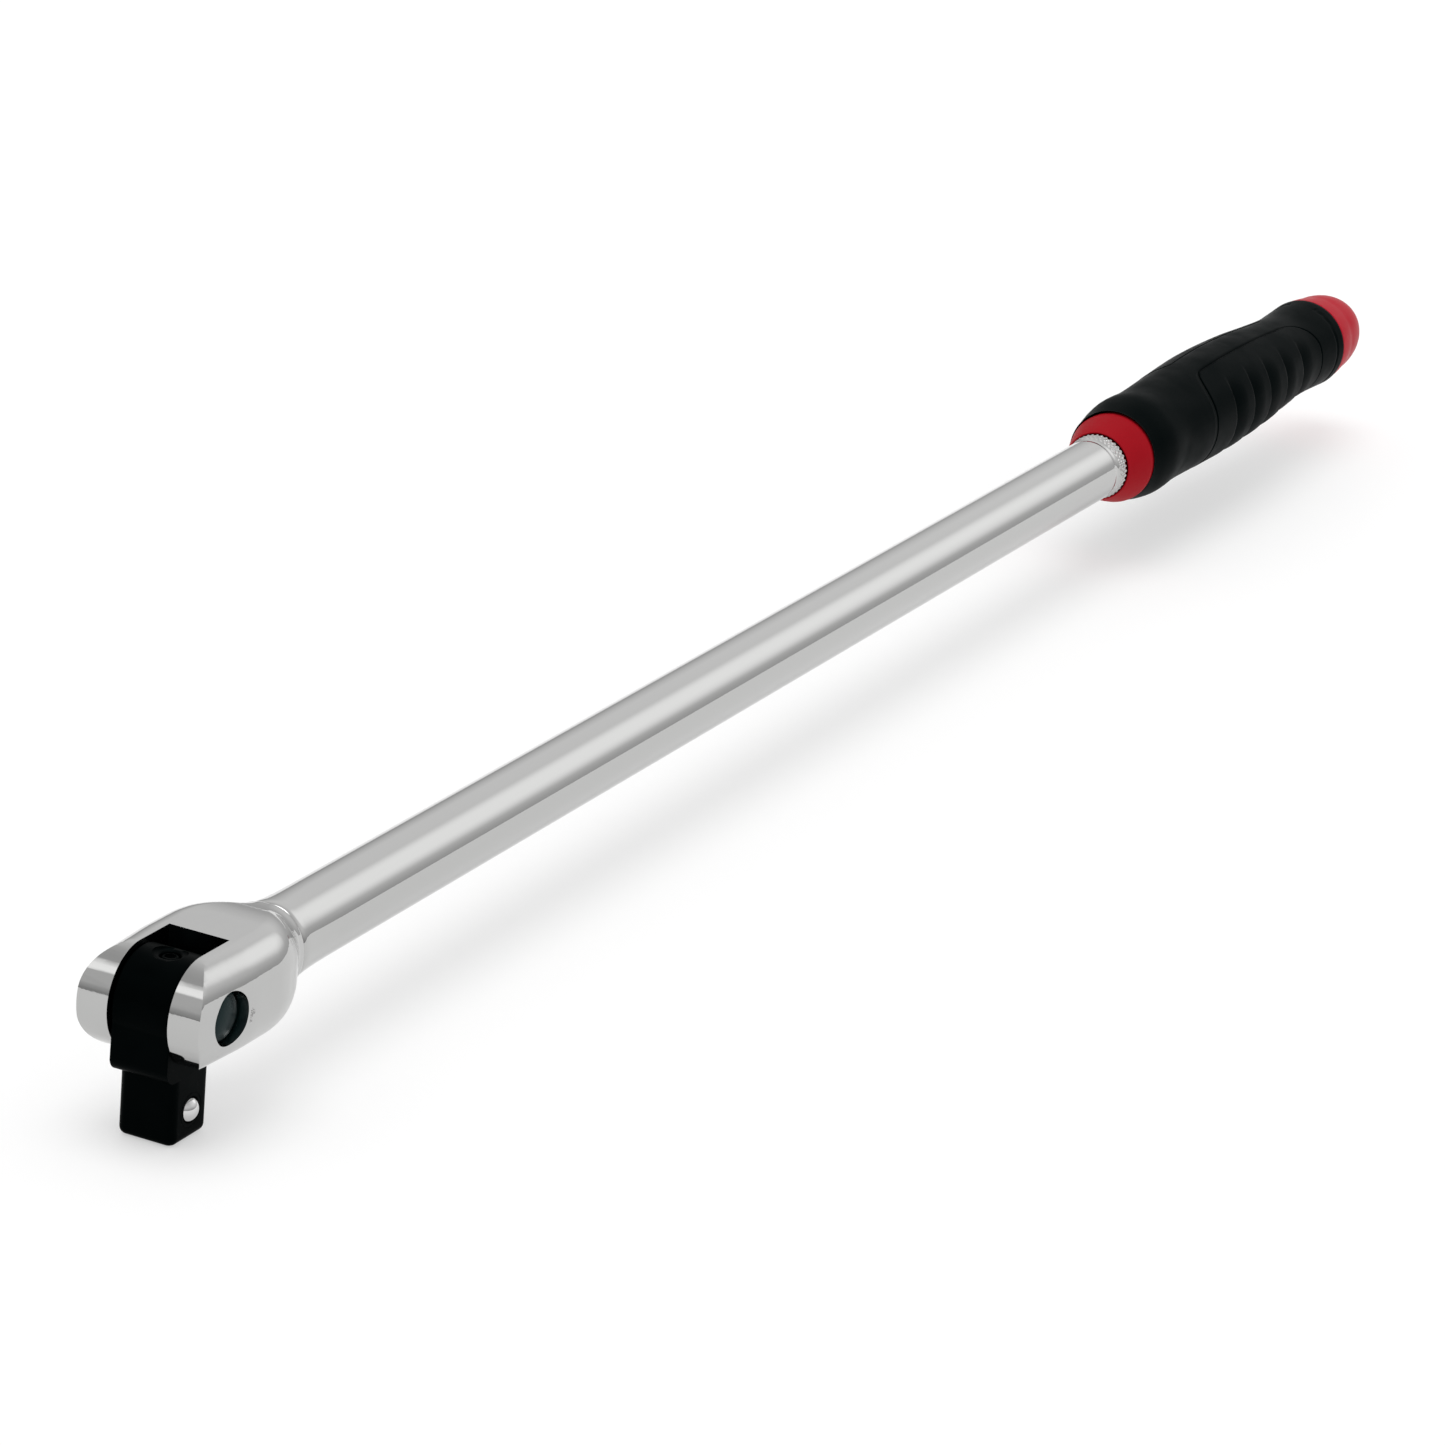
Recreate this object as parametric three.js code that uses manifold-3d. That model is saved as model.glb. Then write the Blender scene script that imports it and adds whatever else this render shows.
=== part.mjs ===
// Breaker bar with a swivelling 1/2 in square drive head and a moulded grip.
// Millimetres, +Z up. The origin is the centre of the drive square's end face, +X runs along the bar
// to the grip, and the pivot pin lies along Y above the origin. The drive points straight down.

import * as THREE from 'three';
import { mergeVertices } from 'three/addons/utils/BufferGeometryUtils.js';
import Module from 'manifold-3d';

const wasm = await Module();
wasm.setup();

// ---- driving dimensions ----
const GAP = 0.3; // clearance between neighbours that touch on the real tool

const SQUARE = 12.7; // 1/2 in drive, across flats
const SQUARE_CORNER = 1.9;
const TIP_CHAMFER = 1.2;
const PIVOT_HEIGHT = 27; // drive tip to pivot axis
const SHOULDER = 13.8; // drive tip to the shoulder of the head's block
const EYE_RADIUS = 10.1;
const BLOCK_HALF = 9.6; // half the block's length along the bar
const BLOCK_CORNER = 3;

const FORK_HALF_HEIGHT = 10.9; // also the radius of the ears' noses
const FORK_HALF_WIDTH = 14.6; // at its widest, behind the pin
const NOSE_HALF_WIDTH = 13.5; // the ears draw in a little towards their noses
const NOSE_EDGE = 1.2;
const FORK_CORNER = 6.5; // soft long edges of the fork
const WIDEST = { start: 8, end: 17 }; // distances from the pivot axis
const CHEEK = { x: 30, y: 10.8 }; // halfway down the slope from the fork to the neck
const SLOT_WIDTH = SQUARE + 2 * GAP;
const SLOT_DEPTH = 10.6; // pivot axis to the slot's back wall
const FORK_END = 27; // where the fork's top and bottom flats end
const NECK_END = 38; // where the neck has become the round shaft

const PIN_RADIUS = 5;
const PIN_HEAD = { start: 10.9, end: 13.1, radius: 5.4, dish: 0.6 }; // swaged at both ends
const MOUTH = { floor: 10.6, radius: 5.8 }; // recess in each ear, round the pin's head

const SHAFT_RADIUS = 8;
const KNURL = { start: 442, end: 466.5, radius: 8.2 };
const TAIL = { end: 592, radius: 6.8 };

const BALL_RADIUS = 2.75;
const BALL_HEIGHT = 6.1; // drive tip to ball centre
const BALL_PROUD = 1.35; // how far the ball stands out of the square
const BALL_LIP = { radius: 2.72, depth: 0.35 };
const BALL_BORE_END = 4.4; // blind end of the cross bore, past the centre plane
const SPRING = { radius: 2.1, wire: 0.35, turns: 5, start: -1.8, end: 4 };

const SCREW_RADIUS = 1.85;
const SCREW = { bottom: 6.8, top: 9.3, socket: 1.15, socketDepth: 1.5 }; // heights above the pivot axis
const PAD = { bottom: 5.35, top: 6.5 };
const COUNTERSINK = { depth: 0.7, above: 0.5, radius: 3.3 }; // radius above the eye's crown

const COLLAR = { start: 445.6, mouth: 8.9, brim: 454.3, end: 460, radius: 11.7 }; // a cone up to its brim
const CORE = { hubRadius: 10.5, hubEnd: 470, radius: 8.4, end: 604 };
const SLEEVE = { start: 455.6, end: 590.2 };
const CAP = { start: 590.5, shoulder: 599.5, tip: 619, rim: 12.1, dome: 11.2 };
// radius of the sleeve at each swelling and waist, against the distance from the pivot
const SLEEVE_STATIONS = [
  [455.6, 12.3], [459, 12.8], [462.5, 13.25], [467, 13.6], [477, 13.2], [496, 13.7], [516, 14.15],
  [540, 13.5], [558, 12.3], [571, 11.6], [580, 11.9], [590.2, 12.3],
];
// the grip's centre line rises above the bar's
const LIFT = { start: 456, front: 0.4, rise: 0.9, length: 75 };
const PANEL = { start: 494.5, end: 575, thickness: 0.7 };
// plain strip along the top, between the panel's edges, and how far it flares round its corners
const STRIP = { half: 4, start: 502, end: 560, frontFlare: 10, backFlare: 11.4 };

const SIDES = 32;

// ---- solids ----

function solidOf(geometry) {
  geometry.deleteAttribute('normal');
  geometry.deleteAttribute('uv');
  const merged = mergeVertices(geometry, 1e-4);
  const index = merged.index.array;
  const triVerts = [];
  for (let i = 0; i < index.length; i += 3) {
    const [a, b, c] = index.slice(i, i + 3);
    if (a !== b && b !== c && c !== a) triVerts.push(a, b, c);
  }
  return new wasm.Manifold(new wasm.Mesh({
    numProp: 3,
    vertProperties: new Float32Array(merged.attributes.position.array),
    triVerts: new Uint32Array(triVerts),
  }));
}

function geometryOf(solid) {
  const { vertProperties, triVerts } = solid.getMesh();
  const geometry = new THREE.BufferGeometry();
  geometry.setAttribute('position', new THREE.BufferAttribute(vertProperties, 3));
  geometry.setIndex(new THREE.BufferAttribute(triVerts, 1));
  geometry.computeVertexNormals();
  return geometry;
}

const X = new THREE.Vector3(1, 0, 0);
const Y = new THREE.Vector3(0, 1, 0);
const Z = new THREE.Vector3(0, 0, 1);
const BASIS = {
  side: [X, Z, Y.clone().negate()], // outline in XZ, depth along Y
  plan: [X, Y, Z], // outline in XY, depth along Z
  end: [Y, Z, X], // outline in YZ, depth along X
};

// An outline extruded both ways from its own plane. Heights are counted from the pivot axis.
function extruded(outline, half, plane) {
  const geometry = new THREE.ExtrudeGeometry(outline, {
    depth: 2 * half, bevelEnabled: false, curveSegments: 8,
  });
  geometry.translate(0, 0, -half);
  geometry.applyMatrix4(new THREE.Matrix4().makeBasis(...BASIS[plane]));
  return solidOf(geometry.translate(0, 0, PIVOT_HEIGHT));
}

// A body turned about the bar's axis, from [distance from the pivot, radius] points.
function turnedGeometry(points, sides = SIDES) {
  const outline = points.map(([along, radius]) => new THREE.Vector2(radius, along));
  return new THREE.LatheGeometry(outline, sides).rotateZ(-Math.PI / 2);
}

function turned(points) {
  return solidOf(turnedGeometry(points).translate(0, 0, PIVOT_HEIGHT));
}

const rod = (start, end, radius) => turned([[start, 0], [start, radius], [end, radius], [end, 0]]);

// A round bar along Y, through the pivot axis's height unless told otherwise.
function crossRod(from, to, radius, height = PIVOT_HEIGHT, sides = SIDES) {
  const geometry = new THREE.CylinderGeometry(radius, radius, to - from, sides);
  return solidOf(geometry.translate(0, (from + to) / 2, height));
}

// An upright round or hexagonal bar over the origin. Heights are counted from the pivot axis.
function upright(bottom, top, radius, sides = 20, topRadius = radius) {
  const geometry = new THREE.CylinderGeometry(topRadius, radius, top - bottom, sides);
  return solidOf(geometry.rotateX(Math.PI / 2).translate(0, 0, PIVOT_HEIGHT + (bottom + top) / 2));
}

function roundedRectangle(halfWidth, halfHeight, radius) {
  const shape = new THREE.Shape();
  shape.moveTo(-halfWidth + radius, -halfHeight);
  shape.lineTo(halfWidth - radius, -halfHeight);
  shape.absarc(halfWidth - radius, -halfHeight + radius, radius, -Math.PI / 2, 0);
  shape.absarc(halfWidth - radius, halfHeight - radius, radius, 0, Math.PI / 2);
  shape.absarc(-halfWidth + radius, halfHeight - radius, radius, Math.PI / 2, Math.PI);
  shape.absarc(-halfWidth + radius, -halfHeight + radius, radius, Math.PI, 1.5 * Math.PI);
  return shape;
}

// ---- bar: fork, neck, shaft and knurled tail, one forging ----

function forkSide() {
  const shape = new THREE.Shape();
  shape.moveTo(NECK_END, -SHAFT_RADIUS + 0.1);
  shape.lineTo(NECK_END, SHAFT_RADIUS - 0.1);
  shape.quadraticCurveTo(FORK_END + 4, SHAFT_RADIUS, FORK_END, FORK_HALF_HEIGHT);
  shape.lineTo(0, FORK_HALF_HEIGHT);
  shape.absarc(0, 0, FORK_HALF_HEIGHT, Math.PI / 2, 1.5 * Math.PI);
  shape.lineTo(FORK_END, -FORK_HALF_HEIGHT);
  shape.quadraticCurveTo(FORK_END + 4, -SHAFT_RADIUS, NECK_END, -SHAFT_RADIUS + 0.1);
  return shape;
}

function forkPlan() {
  const front = -FORK_HALF_HEIGHT;
  const half = new THREE.Shape();
  half.moveTo(front, NOSE_HALF_WIDTH - NOSE_EDGE);
  half.lineTo(front + NOSE_EDGE, NOSE_HALF_WIDTH);
  half.quadraticCurveTo(WIDEST.start / 2 - NOSE_EDGE, FORK_HALF_WIDTH, WIDEST.start, FORK_HALF_WIDTH);
  half.lineTo(WIDEST.end, FORK_HALF_WIDTH);
  half.quadraticCurveTo(CHEEK.x - 6, FORK_HALF_WIDTH - 0.5, CHEEK.x, CHEEK.y);
  half.quadraticCurveTo(CHEEK.x + 3, SHAFT_RADIUS, NECK_END, SHAFT_RADIUS - 0.1);
  const edge = half.getPoints(8);
  const mirrored = edge.map(({ x, y }) => new THREE.Vector2(x, -y)).reverse();
  return new THREE.Shape([...edge, ...mirrored]);
}

function slot() {
  const reach = 4 * FORK_HALF_HEIGHT;
  const geometry = new THREE.BoxGeometry(reach, SLOT_WIDTH, reach);
  return solidOf(geometry.translate(SLOT_DEPTH - reach / 2, 0, PIVOT_HEIGHT));
}

function bar() {
  const section = roundedRectangle(FORK_HALF_WIDTH, FORK_HALF_HEIGHT, FORK_CORNER);
  const fork = extruded(forkSide(), FORK_HALF_WIDTH + 1, 'side')
    .intersect(extruded(forkPlan(), FORK_HALF_HEIGHT + 1, 'plan'))
    .intersect(extruded(section, NECK_END + 1, 'end'));
  const shaft = turned([
    [SLOT_DEPTH + 4, 0], [SLOT_DEPTH + 4, SHAFT_RADIUS], [KNURL.start, SHAFT_RADIUS],
    [KNURL.start + 0.3, KNURL.radius], [KNURL.end, KNURL.radius], [KNURL.end, TAIL.radius],
    [TAIL.end - 1, TAIL.radius], [TAIL.end, TAIL.radius - 1], [TAIL.end, 0],
  ]);
  const outside = FORK_HALF_WIDTH + 1;
  return fork.add(shaft)
    .subtract(slot())
    .subtract(crossRod(-outside, outside, PIN_RADIUS + GAP))
    .subtract(crossRod(-outside, -MOUTH.floor, MOUTH.radius))
    .subtract(crossRod(MOUTH.floor, outside, MOUTH.radius));
}

// ---- drive head ----

function headSide() {
  const corner = BLOCK_CORNER;
  const low = SHOULDER - PIVOT_HEIGHT;
  const tangent = Math.acos(BLOCK_HALF / EYE_RADIUS);
  const shape = new THREE.Shape();
  shape.moveTo(-BLOCK_HALF + corner, low);
  shape.lineTo(BLOCK_HALF - corner, low);
  shape.absarc(BLOCK_HALF - corner, low + corner, corner, -Math.PI / 2, 0);
  shape.absarc(0, 0, EYE_RADIUS, tangent, Math.PI - tangent);
  shape.absarc(-BLOCK_HALF + corner, low + corner, corner, Math.PI, 1.5 * Math.PI);
  return shape;
}

function squareDrive() {
  const half = SQUARE / 2;
  const geometry = new THREE.ExtrudeGeometry(roundedRectangle(half, half, SQUARE_CORNER), {
    depth: SHOULDER, curveSegments: 5,
    bevelThickness: TIP_CHAMFER, bevelSize: TIP_CHAMFER, bevelOffset: -TIP_CHAMFER, bevelSegments: 2,
  });
  return solidOf(geometry.translate(0, 0, TIP_CHAMFER));
}

function driveHead() {
  const ballBore = crossRod(-SQUARE / 2 + BALL_LIP.depth, BALL_BORE_END, BALL_RADIUS + GAP, BALL_HEIGHT, 24);
  const ballLip = crossRod(-SQUARE, 0, BALL_LIP.radius, BALL_HEIGHT, 24);
  const countersink = upright(
    EYE_RADIUS - COUNTERSINK.depth, EYE_RADIUS + COUNTERSINK.above,
    SCREW_RADIUS + GAP, 20, COUNTERSINK.radius,
  );
  return extruded(headSide(), SQUARE / 2, 'side').add(squareDrive())
    .subtract(crossRod(-SQUARE, SQUARE, PIN_RADIUS + GAP))
    .subtract(ballBore)
    .subtract(ballLip)
    .subtract(upright(0, EYE_RADIUS + 1, SCREW_RADIUS + GAP))
    .subtract(countersink);
}

function pivotPin() {
  const { start, end, radius, dish } = PIN_HEAD;
  const outline = [
    [end - dish, 0], [end - dish / 2, radius / 2], [end, radius - dish], [end - dish, radius],
    [start, radius], [start, PIN_RADIUS],
  ];
  const mirrored = outline.map(([along, r]) => [-along, r]);
  const geometry = turnedGeometry([...mirrored, ...outline.reverse()]).rotateZ(Math.PI / 2);
  return solidOf(geometry.translate(0, 0, PIVOT_HEIGHT));
}

function tensionScrew() {
  const socket = upright(SCREW.top - SCREW.socketDepth, SCREW.top + 1, SCREW.socket, 6);
  return upright(SCREW.bottom, SCREW.top, SCREW_RADIUS).subtract(socket);
}

const frictionPad = () => upright(PAD.bottom, PAD.top, SCREW_RADIUS);

function retainingBall() {
  const centre = -SQUARE / 2 - BALL_PROUD + BALL_RADIUS;
  return solidOf(new THREE.SphereGeometry(BALL_RADIUS, 20, 14).translate(0, centre, BALL_HEIGHT));
}

class SpringCurve extends THREE.Curve {
  getPoint(t, target = new THREE.Vector3()) {
    const turn = 2 * Math.PI * SPRING.turns * t;
    const along = SPRING.start + SPRING.wire + t * (SPRING.end - SPRING.start - 2 * SPRING.wire);
    return target.set(
      SPRING.radius * Math.cos(turn), along, BALL_HEIGHT + SPRING.radius * Math.sin(turn),
    );
  }
}

function retainingSpring() {
  const wire = new THREE.Shape().absarc(0, 0, SPRING.wire, 0, 2 * Math.PI);
  return solidOf(new THREE.ExtrudeGeometry(wire, {
    extrudePath: new SpringCurve(), steps: 12 * SPRING.turns, curveSegments: 3,
  }));
}

// ---- grip ----

function lift(along) {
  const t = THREE.MathUtils.clamp((along - LIFT.start) / LIFT.length, 0, 1);
  return LIFT.front + LIFT.rise * t * t * (3 - 2 * t);
}

// A body turned about the grip's own centre line, which rises away from the bar's.
function lifted(points) {
  const geometry = turnedGeometry(points).translate(0, 0, PIVOT_HEIGHT);
  const position = geometry.attributes.position;
  for (let i = 0; i < position.count; i++) {
    position.setZ(i, position.getZ(i) + lift(position.getX(i)));
  }
  return solidOf(geometry);
}

const sleeveCurve = new THREE.SplineCurve(
  SLEEVE_STATIONS.map(([along, radius]) => new THREE.Vector2(along, radius)),
);
const sleeveOutline = sleeveCurve.getPoints(30).map((point) => [point.x, point.y]);

// The sleeve's outline between two places, pushed in by an inset.
function sleeveStretch(start, end, inset) {
  const radiusAt = (along) => {
    const next = Math.max(1, sleeveOutline.findIndex(([x]) => x >= along));
    const [x1, r1] = sleeveOutline[next];
    const [x0, r0] = sleeveOutline[next - 1];
    return r0 + (r1 - r0) * (along - x0) / (x1 - x0) - inset;
  };
  const middle = sleeveOutline.filter(([x]) => x > start + 0.5 && x < end - 0.5);
  return lifted([
    [start, 0], [start, radiusAt(start)],
    ...middle.map(([x, r]) => [x, r - inset]),
    [end, radiusAt(end)], [end, 0],
  ]);
}

// The plain strip on top of the grip, which flares at both ends to round the panel's corners.
function topStrip(gap) {
  const wide = 16;
  const past = 2;
  const half = STRIP.half - gap;
  const front = PANEL.start - gap;
  const back = PANEL.end + gap;
  const side = new THREE.Shape();
  side.moveTo(PANEL.start - past, wide);
  side.lineTo(front, wide);
  side.lineTo(front, STRIP.frontFlare);
  side.quadraticCurveTo(front + 1, half, STRIP.start, half);
  side.lineTo(STRIP.end, half);
  side.quadraticCurveTo(back - 3, half + 1.5, back, STRIP.backFlare);
  side.lineTo(back, wide);
  side.lineTo(PANEL.end + past, wide);
  const edge = side.getPoints(8);
  const mirrored = edge.map(({ x, y }) => new THREE.Vector2(x, -y)).reverse();
  const middle = (PANEL.start + PANEL.end) / 2;
  const upperHalf = new THREE.BoxGeometry(2 * (PANEL.end - PANEL.start), 4 * wide, 2 * wide);
  return extruded(new THREE.Shape([...edge, ...mirrored]), 20, 'plan')
    .intersect(solidOf(upperHalf.translate(middle, 0, PIVOT_HEIGHT + wide + lift(middle))));
}

function gripCore() {
  return turned([
    [COLLAR.start, 0], [COLLAR.start, COLLAR.mouth],
    [COLLAR.brim, COLLAR.radius], [COLLAR.end, COLLAR.radius],
    [COLLAR.end, CORE.hubRadius], [CORE.hubEnd, CORE.hubRadius],
    [CORE.hubEnd, CORE.radius], [CORE.end, CORE.radius], [CORE.end, 0],
  ])
    .subtract(rod(COLLAR.start - 1, KNURL.end + GAP, KNURL.radius + GAP))
    .subtract(rod(KNURL.end, CORE.end + 1, TAIL.radius + GAP));
}

function gripSleeve() {
  const bore = rod(COLLAR.start - 1, SLEEVE.end + 1, CORE.radius + GAP)
    .add(rod(COLLAR.start - 1, CORE.hubEnd + GAP, CORE.hubRadius + GAP))
    .add(rod(COLLAR.start - 1, COLLAR.end + GAP, COLLAR.radius + GAP));
  const pocket = sleeveStretch(PANEL.start - GAP, PANEL.end + GAP, -5)
    .subtract(sleeveStretch(PANEL.start - GAP - 1, PANEL.end + GAP + 1, PANEL.thickness + GAP))
    .subtract(topStrip(GAP));
  return sleeveStretch(SLEEVE.start, SLEEVE.end, 0).subtract(bore).subtract(pocket);
}

function fingerPanel() {
  return sleeveStretch(PANEL.start, PANEL.end, 0)
    .subtract(sleeveStretch(PANEL.start - 1, PANEL.end + 1, PANEL.thickness))
    .subtract(topStrip(0));
}

function endCap() {
  const steps = 8;
  const outline = [
    [CAP.start, 0], [CAP.start, CAP.rim - 0.3], [CAP.start + 0.5, CAP.rim], [CAP.start + 5, CAP.rim - 0.15],
  ];
  for (let i = 0; i <= steps; i++) {
    const angle = i * Math.PI / 2 / steps;
    const radius = i < steps ? CAP.dome * Math.cos(angle) : 0;
    outline.push([CAP.shoulder + (CAP.tip - CAP.shoulder) * Math.sin(angle), radius]);
  }
  return lifted(outline).subtract(rod(CAP.start - 1, CORE.end + GAP, CORE.radius + GAP));
}

// ---- assembly ----

const MATERIALS = {
  chrome: { color: 0xc9c9c8, roughness: 0.16, metalness: 1 },
  blackSteel: { color: 0x0c0e0f, roughness: 0.42, metalness: 0.8 },
  brightSteel: { color: 0xd6d8da, roughness: 0.12, metalness: 1 },
  springSteel: { color: 0x8e9092, roughness: 0.35, metalness: 1 },
  nylon: { color: 0xd8d4c4, roughness: 0.55, metalness: 0 },
  redPlastic: { color: 0xb3202b, roughness: 0.4, metalness: 0 },
  blackRubber: { color: 0x15191b, roughness: 0.68, metalness: 0 },
};

const NODES = [
  ['bar', bar, MATERIALS.chrome],
  ['drive_head', driveHead, MATERIALS.blackSteel],
  ['pivot_pin', pivotPin, MATERIALS.blackSteel],
  ['tension_screw', tensionScrew, MATERIALS.blackSteel],
  ['friction_pad', frictionPad, MATERIALS.nylon],
  ['retaining_ball', retainingBall, MATERIALS.brightSteel],
  ['retaining_spring', retainingSpring, MATERIALS.springSteel],
  ['grip_core', gripCore, MATERIALS.redPlastic],
  ['grip_sleeve', gripSleeve, MATERIALS.blackRubber],
  ['finger_panel', fingerPanel, MATERIALS.blackRubber],
  ['end_cap', endCap, MATERIALS.redPlastic],
];

const part = new THREE.Group();
for (const [name, make, look] of NODES) {
  const mesh = new THREE.Mesh(geometryOf(make()), new THREE.MeshStandardMaterial(look));
  mesh.name = name;
  part.add(mesh);
}

export default part;
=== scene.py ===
import bpy
import bmesh
import math
from mathutils import Matrix, Vector


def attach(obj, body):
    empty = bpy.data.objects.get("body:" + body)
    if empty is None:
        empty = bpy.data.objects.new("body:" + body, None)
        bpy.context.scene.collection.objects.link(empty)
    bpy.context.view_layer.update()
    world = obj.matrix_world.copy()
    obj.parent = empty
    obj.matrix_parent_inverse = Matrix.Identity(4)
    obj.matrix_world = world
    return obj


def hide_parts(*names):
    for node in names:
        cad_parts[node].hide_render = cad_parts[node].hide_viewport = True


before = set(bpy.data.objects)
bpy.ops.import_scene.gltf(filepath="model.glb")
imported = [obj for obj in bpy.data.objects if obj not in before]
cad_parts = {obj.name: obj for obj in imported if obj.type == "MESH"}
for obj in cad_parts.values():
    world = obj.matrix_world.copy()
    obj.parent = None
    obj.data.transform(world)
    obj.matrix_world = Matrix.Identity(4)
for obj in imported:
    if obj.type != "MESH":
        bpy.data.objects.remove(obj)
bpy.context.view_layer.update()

# ---- camera ----
# A long lens in front of the head, a little above the bar and on the retaining ball's side.
mm = 0.001
view = {"place": (-843.07, -510.33, 444.95), "turn": (70.17, -4.708, -62.961), "lens": 139.52}

camera = bpy.data.objects.new("camera", bpy.data.cameras.new("camera"))
camera.location = Vector(view["place"]) * mm
camera.rotation_euler = [math.radians(angle) for angle in view["turn"]]
camera.data.lens = view["lens"]
camera.data.sensor_width = 36
bpy.context.scene.collection.objects.link(camera)
bpy.context.scene.camera = camera
bpy.context.scene.view_settings.view_transform = "Standard"


# ---- studio floor ----
# A pale matt sweep that the drive's tip stands on.
def new_piece(name, bm, material=None, smooth=True):
    for face in bm.faces:
        face.smooth = smooth
    mesh = bpy.data.meshes.new(name)
    bm.to_mesh(mesh)
    bm.free()
    if material:
        mesh.materials.append(material)
    piece = bpy.data.objects.new(name, mesh)
    bpy.context.scene.collection.objects.link(piece)
    return piece


def new_material(name, colour, roughness, metallic=0.0, **sockets):
    material = bpy.data.materials.new(name)
    material.use_nodes = True
    shader = material.node_tree.nodes["Principled BSDF"]
    shader.inputs["Base Color"].default_value = (*colour, 1)
    shader.inputs["Roughness"].default_value = roughness
    shader.inputs["Metallic"].default_value = metallic
    for socket, value in sockets.items():
        shader.inputs[socket.replace("_", " ")].default_value = value
    return material


floor_drop = 0.1
sweep = bmesh.new()
bmesh.ops.create_grid(sweep, x_segments=1, y_segments=1, size=4)
bmesh.ops.translate(sweep, verts=sweep.verts, vec=(0.3, 0, -floor_drop * mm))
floor = new_piece("studio_floor", sweep, new_material(
    "floor_paint", (0.5, 0.5, 0.5), 0.7, Emission_Color=(1, 1, 1, 1), Emission_Strength=0.46,
))


# ---- studio light ----
# A pale room, darker at the horizon. A soft box and a wide fainter one round it stand beyond the
# grip, a small one over the head's end, and a broad one overhead. They are as far away as the room,
# so their reflections run evenly along the bar.
room = bpy.data.worlds.new("room")
bpy.context.scene.world = room
room.use_nodes = True
sky = room.node_tree
direction = sky.nodes.new("ShaderNodeTexCoord")
height = sky.nodes.new("ShaderNodeSeparateXYZ")
ramp = sky.nodes.new("ShaderNodeValToRGB")
sky.links.new(direction.outputs["Generated"], height.inputs["Vector"])
sky.links.new(height.outputs["Z"], ramp.inputs["Fac"])
wall_tones = [(0, 0.36), (5, 0.4), (12, 0.54), (24, 0.74), (36, 0.74), (50, 0.62), (65, 0.56)]
while len(ramp.color_ramp.elements) < len(wall_tones):
    ramp.color_ramp.elements.new(0.5)
for stop, (elevation, tone) in zip(ramp.color_ramp.elements, wall_tones):
    stop.position = math.sin(math.radians(elevation))
    stop.color = (tone, tone, tone, 1)
light = ramp.outputs["Color"]

soft_boxes = [
    {"azimuth": -21, "elevation": 28, "inner": 3, "outer": 21, "brightness": 0.47},
    {"azimuth": -14, "elevation": 34, "inner": 12, "outer": 70, "brightness": 0.28},
    {"azimuth": 134, "elevation": 47, "inner": 2, "outer": 14, "brightness": 0.95},
    {"azimuth": 60, "elevation": 88, "inner": 12, "outer": 26, "brightness": 3.0},
]
for box in soft_boxes:
    flat = math.cos(math.radians(box["elevation"]))
    facing = sky.nodes.new("ShaderNodeVectorMath")
    facing.operation = "DOT_PRODUCT"
    facing.inputs[1].default_value = (
        flat * math.cos(math.radians(box["azimuth"])),
        flat * math.sin(math.radians(box["azimuth"])),
        math.sin(math.radians(box["elevation"])),
    )
    glow = sky.nodes.new("ShaderNodeMapRange")
    glow.interpolation_type = "SMOOTHSTEP"
    glow.inputs["From Min"].default_value = math.cos(math.radians(box["outer"]))
    glow.inputs["From Max"].default_value = math.cos(math.radians(box["inner"]))
    glow.inputs["To Max"].default_value = box["brightness"]
    both = sky.nodes.new("ShaderNodeVectorMath")
    sky.links.new(direction.outputs["Generated"], facing.inputs[0])
    sky.links.new(facing.outputs["Value"], glow.inputs["Value"])
    sky.links.new(light, both.inputs[0])
    sky.links.new(glow.outputs["Result"], both.inputs[1])
    light = both.outputs["Vector"]
sky.links.new(light, sky.nodes["Background"].inputs["Color"])


# ---- bar ----
# Chrome-vanadium steel, drop forged with a fork at one end, ground, polished and bright chromed.
# The shaft's far end is knurled and turned down to hold the grip.
def node_group(name, inputs, outputs):
    group = bpy.data.node_groups.new(name, "ShaderNodeTree")
    for socket, value in inputs.items():
        made = group.interface.new_socket(socket, in_out="INPUT", socket_type="NodeSocketFloat")
        made.default_value = value
    for socket in outputs:
        group.interface.new_socket(socket, in_out="OUTPUT", socket_type="NodeSocketFloat")
    return group, group.nodes.new("NodeGroupInput"), group.nodes.new("NodeGroupOutput")


def stretched_noise(group, ends, scale, stretch, detail):
    """Noise on object coordinates, drawn out along X by a number."""
    link = group.links.new
    coordinates = group.nodes.new("ShaderNodeTexCoord")
    split = group.nodes.new("ShaderNodeSeparateXYZ")
    squeeze = group.nodes.new("ShaderNodeMath")
    squeeze.operation = "DIVIDE"
    join = group.nodes.new("ShaderNodeCombineXYZ")
    noise = group.nodes.new("ShaderNodeTexNoise")
    noise.inputs["Detail"].default_value = detail
    link(coordinates.outputs["Object"], split.inputs["Vector"])
    link(split.outputs["X"], squeeze.inputs[0])
    link(ends.outputs[stretch], squeeze.inputs[1])
    link(squeeze.outputs["Value"], join.inputs["X"])
    link(split.outputs["Y"], join.inputs["Y"])
    link(split.outputs["Z"], join.inputs["Z"])
    link(join.outputs["Vector"], noise.inputs["Vector"])
    link(ends.outputs[scale], noise.inputs["Scale"])
    return noise


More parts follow.
